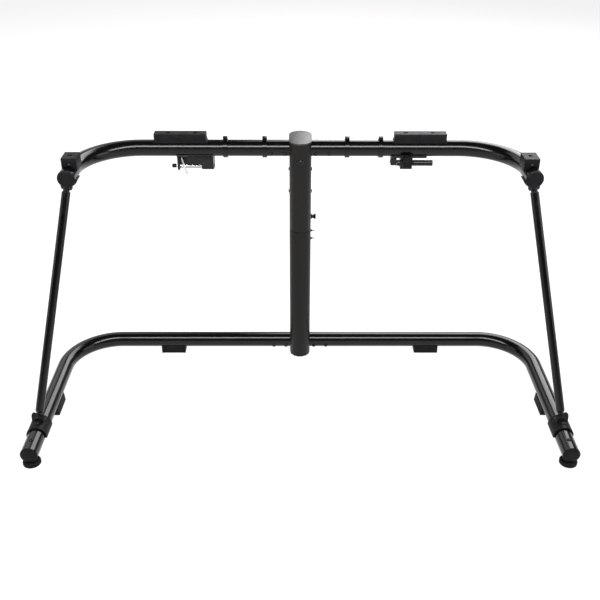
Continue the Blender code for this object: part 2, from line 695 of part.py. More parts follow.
def ear_matrix(point, axis, offset, up):
    """Stands an ear on its pivot, square to the pin axis, with its round end facing up."""
    normal = Vector(axis)
    across = up.cross(normal)
    turn = Matrix((across, up, normal)).transposed().to_4x4()
    return Matrix.Translation(point + normal * offset) @ turn


def saddle_clamps():
    """Saddle over the base rail, with two ears for the strut's lower pin."""
    outline = arc(SADDLE_RADIUS, -12, 192, 14)
    low, high = SADDLE_Y
    for side, word in SIDES:
        lower, _ = strut_points(side)
        axis = strut_pin_axis(side)
        x = side * BASE_HALF_WIDTH
        stand = Matrix.Translation(place(x, high, BASE_Z)) @ Matrix.Rotation(math.pi / 2, 4, "X")
        obj = part(f"saddle_clamp_{word}", extruded([outline], high - low), DARK_PLASTIC, stand)
        round_edges(obj, 1.0 * MM)
        for offset in (TANG[1] / 2 + GAP, -TANG[1] / 2 - GAP - LUG_WIDTH):
            lug = ear(22 * MM, LUG_WIDTH, 6.5 * MM, 8 * MM)
            join(obj, lug, ear_matrix(lower, axis, offset, Vector((0, 0, 1))))
        cut(obj, rail_cutter(), aim(place(x, (low + high) / 2, BASE_Z), (0, 1, 0)))
        cut(obj, rod(TANG[0] + 0.8 * MM, TANG[1] + 2 * GAP, 20), aim(lower, axis))
        cut(obj, bore(PIN_RADIUS, 60 * MM, 12), aim(lower, axis))
        cut(obj, rod(2.5 * MM, 60 * MM, 8), Matrix.Translation(place(x, SADDLE_SCREW_Y, BASE_Z + 40 * MM)))


def strut_hangers():
    """Saddle under the top rail's front end, with two ears for the strut's upper pin."""
    outline = arc(22.6 * MM, 195, 345, 10)
    for side, word in SIDES:
        _, upper = strut_points(side)
        axis = strut_pin_axis(side)
        x = side * TOP_HALF_WIDTH
        stand = Matrix.Translation(place(x, -157 * MM, TOP_Z)) @ Matrix.Rotation(math.pi / 2, 4, "X")
        obj = part(f"strut_hanger_{word}", extruded([outline], 26 * MM), BLACK_STEEL, stand)
        for offset in (7.8 * MM, -11 * MM):
            lug = ear(16 * MM, 3.2 * MM, 6.5 * MM, 8 * MM)
            join(obj, lug, ear_matrix(upper, axis, offset, Vector((0, 0, -1))))
        cut(obj, rail_cutter(), aim(place(x, UPPER_PIVOT[1], TOP_Z), (0, 1, 0)))
        cut(obj, rod(UPPER_EYE[0] + 0.9 * MM, 15.6 * MM, 20), aim(upper, axis))
        cut(obj, bore(PIN_RADIUS, 60 * MM, 12), aim(upper, axis))


def pins():
    for side, word in SIDES:
        axis = strut_pin_axis(side)
        lower, upper = strut_points(side)
        part(f"lower_pivot_pin_{word}", rod(PIN_RADIUS, 33 * MM, 12), BLACK_STEEL, aim(lower, axis))
        part(f"upper_pivot_pin_{word}", rod(PIN_RADIUS, 23 * MM, 12), BLACK_STEEL, aim(upper, axis))


def struts():
    """Outer tube on the base, inner tube on the top; they slide in each other as the column rises."""
    for side, word in SIDES:
        lower, upper = strut_points(side)
        axis = strut_pin_axis(side)
        along = (upper - lower).normalized()
        length = (upper - lower).length - STRUT_MOUTH
        inside = STRUT_RADIUS - STRUT_WALL
        plug = 24 * MM
        profile = [(inside, length), (STRUT_RADIUS, length), (STRUT_RADIUS, STRUT_END + 5 * MM),
                   (STRUT_RADIUS - 2.5 * MM, STRUT_END), (0, STRUT_END), (0, plug), (inside, plug)]
        outer = part(f"strut_outer_{word}", turned(profile, 20, ring=True), GLOSS_BLACK, aim(lower, along))
        tang = ear(TANG_REACH, TANG[1], TANG[0], TANG[0])
        join(outer, tang, ear_matrix(lower, axis, -TANG[1] / 2, -along))
        cut(outer, bore(PIN_RADIUS, 60 * MM, 12), aim(lower, axis))
        pivot(f"lower_pivot_{word}", lower, [outer])

        end = 2 * MM
        hollow = STRUT_INNER_RADIUS - STRUT_INNER_WALL
        profile = [(0, 18 * MM), (hollow, 18 * MM), (hollow, STRUT_INNER_LENGTH),
                   (STRUT_INNER_RADIUS, STRUT_INNER_LENGTH), (STRUT_INNER_RADIUS, end), (0, end)]
        inner = part(f"strut_inner_{word}", turned(profile, 20), BLACK_STEEL, aim(upper, -along))
        join(inner, eye(*UPPER_EYE), aim(upper, axis))
        cut(inner, bore(PIN_RADIUS, 60 * MM, 12), aim(upper, axis))
        pivot(f"upper_pivot_{word}", upper, [inner])


# ---------------------------------------------------------------- floor contact

def floor_pad(name, centre, along_x):
    """Rubber block under a base rail, cupped around the tube, wider at the floor."""
    height = 22 * MM
    outline = [(-19.6 * MM, 0), (19.6 * MM, 0), (17.6 * MM, height), (-17.6 * MM, height)]
    lay = Matrix.Rotation(math.pi / 2, 4, "X")
    if along_x:
        lay = Matrix.Rotation(math.pi / 2, 4, "Z") @ lay
    start = Matrix.Translation(centre) @ lay @ Matrix.Translation((0, 0, -FLOOR_PAD_LENGTH / 2))
    obj = part(name, extruded([outline], FLOOR_PAD_LENGTH), BLACK_RUBBER, start)
    round_edges(obj, 1.0 * MM)
    cut(obj, rail_cutter(), aim(centre + Vector((0, 0, BASE_Z)), (1, 0, 0) if along_x else (0, 1, 0)))


def base_pads():
    for side, word in SIDES:
        floor_pad(f"base_rear_pad_{word}", place(side * FLOOR_PAD_X, 0, 0), True)
        floor_pad(f"base_side_pad_{word}", place(side * BASE_HALF_WIDTH, SIDE_PAD_Y, 0), False)


def foot_plugs():
    """Threaded plugs inside the base rails' front ends."""
    for side, word in SIDES:
        x = side * BASE_HALF_WIDTH
        obj = part(f"foot_plug_{word}", rod(RAIL_RADIUS - RAIL_WALL - GAP, 35 * MM), BARE_STEEL,
                   aim(place(x, -445.5 * MM, BASE_Z), (0, 1, 0)))
        cut(obj, bore(STEM_RADIUS, 60 * MM, 12), Matrix.Translation(place(x, FOOT_Y, BASE_Z)))
        cut(obj, rod(2.5 * MM, 16 * MM, 8), Matrix.Translation(place(x, PLUG_SCREW_Y, BASE_Z + 17 * MM)))


def levelling_feet():
    """Rubber disc on a threaded stem that screws into the plug."""
    r = FOOT_RADIUS / MM
    h = FOOT_HEIGHT / MM
    disc = [(4.3, h), (r - 3.5, h), (r - 1.2, h - 0.9), (r, h - 2.8), (r, 0.8), (r - 0.8, 0),
            (0, 0), (0, 3), (4.3, 3)]
    top = (BASE_Z + 8 * MM) / MM
    thread = [(0, top), (3.3, top), (4, top - 0.8), (4, h + 1.8), (7.5, h + 1.8), (7.5, h + 0.3),
              (4, h + 0.3), (4, 3.3), (0, 3.3)]
    for side, word in SIDES:
        point = place(side * BASE_HALF_WIDTH, FOOT_Y, 0)
        stem = part(f"foot_stem_{word}", turned([(a * MM, b * MM) for a, b in thread], 12), BARE_STEEL,
                    Matrix.Translation(point))
        foot = part(f"foot_{word}", turned([(a * MM, b * MM) for a, b in disc], 24, ring=True), BLACK_RUBBER,
                    Matrix.Translation(point))
        pivot(f"foot_axis_{word}", point, [stem, foot])


# ---------------------------------------------------------------- assembly

def clear_scene():
    for obj in list(bpy.data.objects):
        bpy.data.objects.remove(obj)
    bpy.context.scene.collection.children.link(COLLECTION)
    bpy.context.scene.collection.children.link(CUTTERS)


def build_column():
    column_lower()
    column_inner_profile()
    column_collar()
    column_bottom_cap()
    column_pegs()
    column_sleeve()
    sleeve_liner()
    column_cap()
    column_front_bolt()
    height_lock_knob()
    cross_tube("cross_tube_lower", BASE_Z)
    cross_tube("cross_tube_upper", TOP_Z)


def build_rails():
    base_rails()
    top_rails()
    end_caps("base", BASE_HALF_WIDTH, BASE_REACH, BASE_Z, 2.6 * MM)
    end_caps("top", TOP_HALF_WIDTH, TOP_REACH, TOP_Z, 12 * MM)


def build_rests():
    rear_pads()
    front_blocks()
    cable_clips()
    left_clamp_bracket()
    left_clamp_screw()
    right_clamp_bracket()
    right_clamp_bar()
    star_knob()


def build_struts():
    saddle_clamps()
    strut_hangers()
    pins()
    struts()


def build_floor_contact():
    base_pads()
    foot_plugs()
    levelling_feet()


clear_scene()
build_column()
build_rails()
build_rests()
build_struts()
build_floor_contact()
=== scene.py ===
# Visual model of the keyboard stand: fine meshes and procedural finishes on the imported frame.

import json
import math

import bmesh
import bpy
from mathutils import Matrix, Vector


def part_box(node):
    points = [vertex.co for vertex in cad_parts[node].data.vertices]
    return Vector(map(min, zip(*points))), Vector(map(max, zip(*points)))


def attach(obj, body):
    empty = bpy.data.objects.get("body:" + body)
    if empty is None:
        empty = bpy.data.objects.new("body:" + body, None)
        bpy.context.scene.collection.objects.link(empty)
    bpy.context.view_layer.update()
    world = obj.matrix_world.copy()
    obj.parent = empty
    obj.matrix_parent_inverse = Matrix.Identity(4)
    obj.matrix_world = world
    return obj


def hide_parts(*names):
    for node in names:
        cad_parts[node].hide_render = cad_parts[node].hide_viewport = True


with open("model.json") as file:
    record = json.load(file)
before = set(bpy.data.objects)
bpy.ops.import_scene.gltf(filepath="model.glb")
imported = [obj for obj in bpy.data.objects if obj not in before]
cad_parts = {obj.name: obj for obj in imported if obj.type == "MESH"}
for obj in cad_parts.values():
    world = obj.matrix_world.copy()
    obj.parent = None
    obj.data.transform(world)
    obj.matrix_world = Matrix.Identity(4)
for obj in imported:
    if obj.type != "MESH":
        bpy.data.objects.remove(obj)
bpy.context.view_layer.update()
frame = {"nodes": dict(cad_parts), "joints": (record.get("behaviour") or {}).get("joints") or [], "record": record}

MM = 0.001
GAP = 0.3 * MM
SIDES = ((-1, "left"), (1, "right"))
X_AXIS = Vector((1, 0, 0))
Y_AXIS = Vector((0, 1, 0))
Z_AXIS = Vector((0, 0, 1))


# ---------------------------------------------------------------- sizes read from the frame

def joint(name):
    return next(j for j in frame["joints"] if j["name"] == name)


def joint_point(name):
    return Vector(joint(name)["pos_m"])


def joint_axis(name):
    return Vector(joint(name)["axis"])


def middle(node):
    low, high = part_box(node)
    return (low + high) / 2


def extent(node):
    low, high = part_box(node)
    return high - low


RAIL_RADIUS = extent("base_rail_right").z / 2
BASE_Z = middle("base_rail_right").z
TOP_Z = middle("top_rail_right").z
REAR_Y = middle("column_lower").y
COLUMN_HALF_X = extent("column_lower").x / 2
COLUMN_HALF_Y = extent("column_lower").y / 2
REST_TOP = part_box("rear_pad_right_inner")[1].z
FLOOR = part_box("foot_left")[0].z

RAIL_WALL = 1.8 * MM
COLUMN_WALL = 2.4 * MM
TOP_BEND = 135 * MM
BASE_BEND = 125 * MM
BOLT_X = (36.8 * MM, 68.5 * MM)
BOLT_DROP = math.radians(28)
PAD_SCREW_X = (244 * MM, 307 * MM)
PAD_SHOULDER = 9 * MM
PAD_FLARE = 2.8 * MM
LID_THICKNESS = 3.5 * MM
REST_SCREW_RECESS = 6.7 * MM
BLOCK_SCREW_DROP = 14 * MM
LINER_SCREW_DROPS = (52 * MM, 108 * MM)

TOMMY_RADIUS = 3 * MM
TOMMY_LENGTH = 42 * MM
TOMMY_SLANT = math.radians(14)
STAR_RADIUS = 15 * MM
STAR_LOBES = 6
STAR_POINTS = 120
STAR_THICKNESS = 9 * MM

SADDLE_SPAN = (353 * MM, 401 * MM)
SADDLE_RADIUS = 23 * MM
LUG_WIDTH = 12.4 * MM
LUG_OFFSETS = (3.3 * MM, -15.7 * MM)
HANGER_START = 157 * MM
HANGER_LENGTH = 26 * MM
HANGER_RADIUS = 22.6 * MM
PLATE_THICKNESS = 3.2 * MM
PLATE_OFFSETS = (7.8 * MM, -11 * MM)
EAR_RADIUS = 6.5 * MM
EAR_FOOT = 8 * MM
PIN_RADIUS = 3 * MM
PIN_BORE_RADIUS = 3.4 * MM
LOWER_PIN_LENGTH = 33 * MM
UPPER_PIN_LENGTH = 23 * MM
STRUT_RADIUS = 9.5 * MM
STRUT_BORE = 8.3 * MM
STRUT_END = 11 * MM
TANG_REACH = 14 * MM
TANG_THICKNESS = 6 * MM
EYE_RADIUS = 7 * MM

# Head radius, head height, length and shank radius, in millimetres.
RAIL_BOLT = (5, 2.8, 2.2, 3)
REST_SCREW = (4.3, 2.6, 8, 2.4)
BLOCK_FRONT_SCREW = (3.8, 2.4, 6, 2.2)
LINER_SCREW = (4.4, 2.2, 2, 2.2)
COLUMN_BOLT = (7, 3.2, 2, 3)
BASE_SCREW = (4.6, 2.6, 4, 2.2)

MERGE_DISTANCE = 1e-6
SHARP_ANGLE = math.radians(32)
BEVEL_ANGLE = math.radians(40)
CORNER_STEPS = 4
HALF_ROUND_STEPS = 24
BEND_STEPS = 40
TUBE_SIDES = 56
THROUGH = 60 * MM

FLOOR_HALF_SIZE = 30
FLOOR_GAP = 0.2 * MM
HORIZON = (0.02, 0.22)
HORIZON_STRENGTH = (0.75, 0.05)
WALL_COLOUR = (0.97, 0.98, 1, 1)
LIGHT_TARGET = (0, 0.2, 0.3)
CAMERA_PLACE = (-0.0098, -1.6724, 1.2527)
CAMERA_SENSOR = 36
CAMERA_LENS = 50.67
CAMERA_PITCH = math.radians(30.30)
CAMERA_TURN = math.radians(-0.305)
CAMERA_ROLL = math.radians(0.176)


# ---------------------------------------------------------------- materials

def map_range(tree, value, low, high, start, stop):
    """Value mapped from low..high to start..stop."""
    node = tree.nodes.new("ShaderNodeMapRange")
    for socket, number in zip(("From Min", "From Max", "To Min", "To Max"), (low, high, start, stop)):
        node.inputs[socket].default_value = number
    tree.links.new(value, node.inputs["Value"])
    return node.outputs["Result"]


class Look:
    """Node material under construction, patterned in the piece's own coordinates."""

    def __init__(self, name):
        self.mat = bpy.data.materials.new(name)
        self.mat.use_nodes = True
        self.tree = self.mat.node_tree
        self.shader = self.tree.nodes["Principled BSDF"]
        self.coords = self.tree.nodes.new("ShaderNodeTexCoord").outputs["Object"]

    def set(self, **values):
        for key, value in values.items():
            self.shader.inputs[key.replace("_", " ")].default_value = value

    def noise(self, scale, detail=3.0, stretch=None):
        """Noise value; stretch scales the pattern along each axis."""
        node = self.tree.nodes.new("ShaderNodeTexNoise")
        node.inputs["Scale"].default_value = scale
        node.inputs["Detail"].default_value = detail
        vector = self.coords
        if stretch:
            mapping = self.tree.nodes.new("ShaderNodeMapping")
            mapping.inputs["Scale"].default_value = stretch
            self.tree.links.new(vector, mapping.inputs["Vector"])
            vector = mapping.outputs["Vector"]
        self.tree.links.new(vector, node.inputs["Vector"])
        return node.outputs["Fac"]

    def ramp(self, value, low, high, start, stop):
        return map_range(self.tree, value, low, high, start, stop)

    def colour(self, dark, light, value):
        node = self.tree.nodes.new("ShaderNodeMix")
        node.data_type = "RGBA"
        node.inputs["A"].default_value = (*dark, 1)
        node.inputs["B"].default_value = (*light, 1)
        self.tree.links.new(value, node.inputs["Factor"])
        self.tree.links.new(node.outputs["Result"], self.shader.inputs["Base Color"])

    def roughness(self, value):
        self.tree.links.new(value, self.shader.inputs["Roughness"])

    def bump(self, value, strength, distance):
        node = self.tree.nodes.new("ShaderNodeBump")
        node.inputs["Strength"].default_value = strength
        node.inputs["Distance"].default_value = distance
        self.tree.links.new(value, node.inputs["Height"])
        self.tree.links.new(node.outputs["Normal"], self.shader.inputs["Normal"])


def gloss_paint():
    """Stove-enamelled black: slight orange peel, a few handling marks."""
    look = Look("gloss_paint")
    look.set(Specular_IOR_Level=0.28)
    marks = look.ramp(look.noise(38, 5.0), 0.55, 0.8, 0.0, 1.0)
    look.colour((0.0015, 0.0015, 0.0018), (0.0035, 0.0033, 0.0036), marks)
    look.roughness(look.ramp(look.noise(90, 4.0), 0.3, 0.75, 0.13, 0.22))
    look.bump(look.noise(420, 2.0), 0.05, 0.0002)
    return look.mat


def satin_coat():
    """Powder coat with a fine even grain."""
    look = Look("satin_coat")
    look.set(Specular_IOR_Level=0.17)
    drift = look.ramp(look.noise(7, 3.0, (1, 1, 0.25)), 0.35, 0.7, 0.0, 1.0)
    look.colour((0.0045, 0.0041, 0.0039), (0.0068, 0.0062, 0.0059), drift)
    look.roughness(look.ramp(look.noise(160, 4.0), 0.3, 0.7, 0.36, 0.47))
    look.bump(look.noise(1500, 3.0), 0.22, 0.0002)
    return look.mat


def lid_paint():
    """Duller paint of the column lid, lightly scuffed from handling."""
    look = Look("lid_paint")
    look.set(Specular_IOR_Level=0.5)
    scuffs = look.ramp(look.noise(70, 5.0), 0.5, 0.75, 0.0, 1.0)
    look.colour((0.012, 0.0115, 0.0112), (0.022, 0.021, 0.0205), scuffs)
    look.roughness(look.ramp(look.noise(150, 4.0), 0.3, 0.7, 0.4, 0.5))
    look.bump(look.noise(900, 3.0), 0.15, 0.0002)
    return look.mat


def moulded(name, dark, light, low, high):
    """Spark-eroded plastic grain with rubbed patches."""
    look = Look(name)
    look.set(Specular_IOR_Level=0.1)
    rubbed = look.ramp(look.noise(55, 5.0), 0.45, 0.72, 0.0, 1.0)
    look.colour(dark, light, rubbed)
    look.roughness(look.ramp(look.noise(210, 3.0), 0.3, 0.7, low, high))
    look.bump(look.noise(1100, 4.0), 0.4, 0.0003)
    return look.mat


def metal(name, dark, light, metallic, low, high, stretch):
    """Drawn or plated steel; stretch lays the drawing lines along the piece."""
    look = Look(name)
    look.set(Metallic=metallic)
    lines = look.noise(260, 4.0, stretch)
    look.colour(dark, light, look.ramp(lines, 0.3, 0.7, 0.0, 1.0))
    look.roughness(look.ramp(look.noise(120, 3.0), 0.3, 0.7, low, high))
    look.bump(lines, 0.12, 0.0001)
    return look.mat


def floor_look():
    """Backlit white sheet: pale all over, with faint contact shadows."""
    look = Look("floor")
    look.set(Emission_Color=(1, 1, 1, 1), Emission_Strength=0.86)
    look.colour((0.16, 0.16, 0.16), (0.19, 0.19, 0.19), look.noise(3, 2.0))
    look.roughness(look.ramp(look.noise(12, 3.0), 0.3, 0.7, 0.75, 0.9))
    return look.mat


LOOKS = {
    "gloss_paint": gloss_paint(),
    "satin_coat": satin_coat(),
    "dark_plastic": moulded("dark_plastic", (0.004, 0.004, 0.0045), (0.0065, 0.0065, 0.007), 0.42, 0.58),
    "black_rubber": moulded("black_rubber", (0.004, 0.004, 0.0045), (0.008, 0.008, 0.0085), 0.6, 0.78),
    "black_steel": metal("black_steel", (0.006, 0.006, 0.007), (0.014, 0.014, 0.016), 0.6, 0.26, 0.4,
                         (0.1, 1, 1)),
    "bright_steel": metal("bright_steel", (0.62, 0.61, 0.6), (0.8, 0.8, 0.8), 1.0, 0.14, 0.26, (0.1, 1, 1)),
    "bare_steel": metal("bare_steel", (0.34, 0.34, 0.35), (0.46, 0.46, 0.47), 1.0, 0.32, 0.46, (1, 1, 0.1)),
    "nylon": moulded("nylon", (0.55, 0.55, 0.52), (0.62, 0.62, 0.6), 0.45, 0.6),
}


# ---------------------------------------------------------------- mesh helpers

def aim(point, axis):
    """Matrix that moves a shape built along +Z to point, along axis."""
    turn = Z_AXIS.rotation_difference(Vector(axis)).to_matrix().to_4x4()
    return Matrix.Translation(point) @ turn


def cleaned(mesh):
    """Mesh with doubled points merged and its faces turned outwards."""
    bm = bmesh.new()
    bm.from_mesh(mesh)
    bmesh.ops.remove_doubles(bm, verts=bm.verts, dist=MERGE_DISTANCE)
    bmesh.ops.recalc_face_normals(bm, faces=bm.faces)
    bm.to_mesh(mesh)
    bm.free()
    return mesh


def mesh_of(points, faces):
    mesh = bpy.data.meshes.new("shape")
    mesh.from_pydata([tuple(p) for p in points], [], faces)
    mesh.validate()
    return cleaned(mesh)


def turned(profile, steps=48):
    """Closed (radius, height) outline turned about Z; points on the axis close the shape."""
    points = []
    count = len(profile)
    for i in range(steps):
        angle = 2 * math.pi * i / steps
        points += [(r * math.cos(angle), r * math.sin(angle), z) for r, z in profile]
    faces = []
    for i in range(steps):
        for j in range(count):
            a, b = i * count + j, i * count + (j + 1) % count
            c, d = (i + 1) % steps * count + (j + 1) % count, (i + 1) % steps * count + j
            corners = [a, b, c, d]
            if profile[j][0] == 0 and profile[(j + 1) % count][0] == 0:
                continue
            if profile[j][0] == 0:
                corners = [a, b, c]
            elif profile[(j + 1) % count][0] == 0:
                corners = [a, b, d]
            faces.append(corners)
    return mesh_of(points, faces)


def in_mm(profile):
    return [(r * MM, z * MM) for r, z in profile]


def softened(profile, radius):
    """Outline with each of its corners off the axis rounded by an arc-like curve."""
    result = []
    count = len(profile)
    for i, (x, z) in enumerate(profile):
        here = Vector((x, z))
        before, after = Vector(profile[i - 1]), Vector(profile[(i + 1) % count])
        if x == 0:
            result.append((x, z))
            continue
        reach = min(radius, (here - before).length * 0.45, (after - here).length * 0.45)
        start = here + (before - here).normalized() * reach
        end = here + (after - here).normalized() * reach
        for k in range(CORNER_STEPS + 1):
            t = k / CORNER_STEPS
            point = start * (1 - t) ** 2 + here * 2 * t * (1 - t) + end * t ** 2
            result.append((point.x, point.y))
    return result


def extruded(outlines, depth, bevel=0.0):
    """Flat outline in XY, further outlines being holes, from 0 to depth, with rounded rims."""
    curve = bpy.data.curves.new("outline", "CURVE")
    curve.dimensions = "2D"
    curve.fill_mode = "BOTH"
    curve.extrude = depth / 2 - bevel
    curve.bevel_depth = bevel
    curve.bevel_resolution = 2
    curve.offset = -bevel
    for outline in outlines:
        spline = curve.splines.new("POLY")
        spline.points.add(len(outline) - 1)
        for point, (x, y) in zip(spline.points, outline):
            point.co = (x, y, 0.0, 1.0)
        spline.use_cyclic_u = True
    mesh = evaluated(bpy.data.objects.new("outline", curve))
    mesh.transform(Matrix.Translation((0, 0, depth / 2)))
    return mesh


def evaluated(obj):
    """Closed mesh of an object with its modifiers applied; the object is removed."""
    bpy.context.scene.collection.objects.link(obj)
    graph = bpy.context.evaluated_depsgraph_get()
    mesh = bpy.data.meshes.new_from_object(obj.evaluated_get(graph))
    bpy.data.objects.remove(obj)
    return cleaned(mesh)


def block(size):
    mesh = bpy.data.meshes.new("block")
    bm = bmesh.new()
    bmesh.ops.create_cube(bm, size=1.0)
    bmesh.ops.scale(bm, vec=size, verts=bm.verts)
    bm.to_mesh(mesh)
    bm.free()
    return mesh


def rod(radius, length, steps=48):
    mesh = bpy.data.meshes.new("rod")
    bm = bmesh.new()
    bmesh.ops.create_cone(bm, cap_ends=True, segments=steps, radius1=radius, radius2=radius, depth=length)
    bm.to_mesh(mesh)
    bm.free()
    return mesh


def moved(mesh, matrix):
    mesh.transform(matrix)
    return mesh


def carved(mesh, joins=(), cuts=(), bevel=0.0, segments=3):
    """Mesh joined with and cut by others, then with its hard edges rounded."""
    obj = bpy.data.objects.new("carved", mesh)
    others = []
    for operation, meshes in (("UNION", joins), ("DIFFERENCE", cuts)):
        for other_mesh in meshes:
            other = bpy.data.objects.new("other", other_mesh)
            bpy.context.scene.collection.objects.link(other)
            others.append(other)
            modifier = obj.modifiers.new(operation, "BOOLEAN")
            modifier.operation = operation
            modifier.solver = "EXACT"
            modifier.object = other
    if bevel:
        modifier = obj.modifiers.new("Bevel", "BEVEL")
        modifier.width = bevel
        modifier.segments = segments
        modifier.limit_method = "ANGLE"
        modifier.angle_limit = BEVEL_ANGLE
        modifier.use_clamp_overlap = True
    result = evaluated(obj)
    for other in others:
        bpy.data.objects.remove(other)
    return result


def piece(name, mesh, slot, body, replaces=()):
    """Finished piece: shaded, given its material slot, and riding on its body."""
    mesh.name = name
    mesh.shade_smooth()
    mesh.set_sharp_from_angle(angle=SHARP_ANGLE)
    mesh.materials.clear()
    mesh.materials.append(LOOKS[slot])
    obj = bpy.data.objects.new(name, mesh)
    bpy.context.scene.collection.objects.link(obj)
    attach(obj, body)
    if replaces:
        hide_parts(*replaces)
    return obj


def arc(radius, start, stop, steps):
    """Points on a circle about the origin, from start to stop degrees."""
    angles = [math.radians(start + (stop - start) * i / steps) for i in range(steps + 1)]
    return [(radius * math.cos(a), radius * math.sin(a)) for a in angles]


# ---------------------------------------------------------------- column

def racetrack(half_x, half_y):
    """Column section: two half circles joined by straight sides."""
    straight = half_y - half_x
    upper = [(x, y + straight) for x, y in arc(half_x, 0, 180, HALF_ROUND_STEPS)]
    lower = [(x, y - straight) for x, y in arc(half_x, 180, 360, HALF_ROUND_STEPS)]
    return upper + lower


def column_section(inset):
    return racetrack(COLUMN_HALF_X - inset, COLUMN_HALF_Y - inset)


def column_shell(node, body):
    low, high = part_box(node)
    mesh = extruded([column_section(0), column_section(COLUMN_WALL)], high.z - low.z, 0.5 * MM)
    moved(mesh, Matrix.Translation((0, REAR_Y, low.z)))
    piece(f"{node}_shell", mesh, "satin_coat", body, [node])


def column_lid():
    low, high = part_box("column_cap")
    half = (high - low) / 2
    mesh = extruded([racetrack(half.x, half.y)], LID_THICKNESS, 1.1 * MM)
    moved(mesh, Matrix.Translation((0, REAR_Y, high.z - LID_THICKNESS)))
    lid = piece("column_lid", mesh, "gloss_paint", "top", ["column_cap"])
    lid.data.materials[0] = lid_paint()


def column_fittings():
    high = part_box("height_lock_knob")[1]
    point = joint_point("lock_knob_turn")
    profile = in_mm([(0, 12.4), (5.2, 12.4), (6.9, 11.4), (6.9, 9.6), (4.6, 7.4), (4.2, 5.2), (5.0, 2.8),
                     (6.6, 1.6), (6.6, 0.3), (0, 0.3)])
    socket = moved(rod(2.1 * MM, 4 * MM, 6), Matrix.Translation((0, 0, high.x - point.x)))
    knob = carved(turned(softened(profile, 0.7 * MM)), cuts=[socket])
    piece("lock_knob_spool", moved(knob, aim(point, X_AXIS)), "black_steel", "lock_knob",
          ["height_lock_knob"])
    peg = in_mm([(0, 10.5), (0.9, 10.2), (1.1, 4.6), (3.2, 1.4), (3.4, 0.0), (0, 0.0)])
    for word in ("upper", "lower"):
        node = f"column_peg_{word}"
        spot = Vector((COLUMN_HALF_X + GAP, REAR_Y, middle(node).z))
        mesh = moved(turned(softened(peg, 0.3 * MM)), aim(spot, X_AXIS))
        piece(f"{node}_point", mesh, "black_steel", "base", [node])


# ---------------------------------------------------------------- screws

def socket_screw(head, height, length, shank):
    """Button-head screw along +Z with a hexagon socket; the underside of the head is at 0."""
    profile = [(0, height), (head * 0.55, height), (head * 0.9, height * 0.62),
               (head, height * 0.2), (head, 0),
               (shank, 0), (shank, -length), (0, -length)]
    socket = moved(rod(head * 0.4, height * 1.2, 6), Matrix.Translation((0, 0, height)))
    return carved(turned(softened(profile, height * 0.25), 32), cuts=[socket])


def screw(name, spot, axis, size, body, replaces=()):
    mesh = moved(socket_screw(*[v * MM for v in size]), aim(spot, axis))
    piece(name, mesh, "black_steel", body, replaces)


def rail_bolts():
    direction = Vector((0, -math.cos(BOLT_DROP), -math.sin(BOLT_DROP)))
    for body, z in (("base", BASE_Z), ("top", TOP_Z)):
        for side, word in SIDES:
            for index, x in enumerate(BOLT_X, start=1):
                spot = Vector((side * x, REAR_Y, z)) + direction * (RAIL_RADIUS + GAP)
                screw(f"{body}_rail_bolt_{word}_{index}", spot, direction, RAIL_BOLT, body)


def rest_screws():
    height = REST_TOP - REST_SCREW_RECESS
    for side, word in SIDES:
        for part, x in zip(("inner", "outer"), PAD_SCREW_X):
            screw(f"pad_screw_{word}_{part}", Vector((side * x, REAR_Y, height)), Z_AXIS, REST_SCREW, "top")
        centre = middle(f"front_block_{word}")
        spot = Vector((centre.x, centre.y, height))
        screw(f"block_screw_{word}_top", spot, Z_AXIS, REST_SCREW, "top")
        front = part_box(f"front_block_{word}")[0].y - GAP
        spot = Vector((centre.x, front, REST_TOP - BLOCK_SCREW_DROP))
        screw(f"block_screw_{word}_front", spot, -Y_AXIS, BLOCK_FRONT_SCREW, "top")


def column_screws():
    for side, word in SIDES:
        for index, drop in enumerate(LINER_SCREW_DROPS, start=1):
            spot = Vector((side * (COLUMN_HALF_X + GAP), REAR_Y, TOP_Z - drop))
            screw(f"liner_screw_{word}_{index}", spot, X_AXIS * side, LINER_SCREW, "top")
    low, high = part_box("column_front_bolt")
    spot = Vector((0, REAR_Y - COLUMN_HALF_Y - GAP, (low.z + high.z) / 2))
    screw("column_socket_bolt", spot, -Y_AXIS, COLUMN_BOLT, "top", ["column_front_bolt"])


def base_tube_screws():
    for _, word in SIDES:
        x = middle(f"base_end_cap_{word}").x
        for name, y, rise in (("saddle", -384, 23.3), ("plug", -437, 19.35)):
            spot = Vector((x, REAR_Y + y * MM, BASE_Z + rise * MM))
            screw(f"{name}_screw_{word}", spot, Z_AXIS, BASE_SCREW, "base")


# ---------------------------------------------------------------- rails

def ring(centre, across, radius):
    """Circle of points about centre, in the upright plane through the direction across."""
    angles = [2 * math.pi * i / TUBE_SIDES for i in range(TUBE_SIDES)]
    return [centre + across * (radius * math.cos(a)) + Z_AXIS * (radius * math.sin(a)) for a in angles]


def tube_mesh(path, radius, wall):
    """Hollow tube along (point, outward direction) stations in a horizontal plane."""
    sides = TUBE_SIDES
    points = []
    for size in (radius, radius - wall):
        for centre, across in path:
            points += ring(centre, across, size)
    stations = len(path)
    faces = []
    for shell in (0, 1):
        for i in range(stations - 1):
            for j in range(sides):
                a = (shell * stations + i) * sides
                b = a + sides
                faces.append([a + j, a + (j + 1) % sides, b + (j + 1) % sides, b + j])
    for i in (0, stations - 1):
        for j in range(sides):
            outer, inner = i * sides, (stations + i) * sides
            faces.append([outer + j, outer + (j + 1) % sides, inner + (j + 1) % sides, inner + j])
    return mesh_of(points, faces)


def rail_half_width(node):
    """Distance from the middle of the stand to the axis of a rail's straight side."""
    return max(abs(corner.x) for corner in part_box(node)) - RAIL_RADIUS


